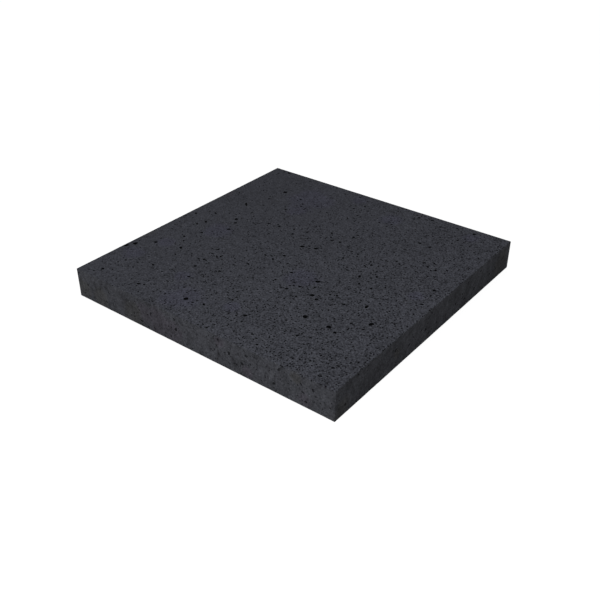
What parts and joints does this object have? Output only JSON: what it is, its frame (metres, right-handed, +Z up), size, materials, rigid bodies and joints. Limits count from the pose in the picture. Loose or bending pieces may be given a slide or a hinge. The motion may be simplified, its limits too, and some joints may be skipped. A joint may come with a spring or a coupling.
{
  "type": "leatherworking stone slab",
  "caption": "Square slab of dark, finely pitted stone, sawn flat on every face: a heavy, firm bed for stamping, punching and skiving leather.",
  "frame": {"origin": "centre of the underside, on the surface that the slab lies on", "axes": "+Z up, square to the working face; +X and +Y along the two equal sides of the square"},
  "size_m": [0.3, 0.3, 0.03],
  "materials": {
    "stone": "matte"
  },
  "bodies": {
    "root": {"stone_slab": "stone"}
  },
  "joints": []
}
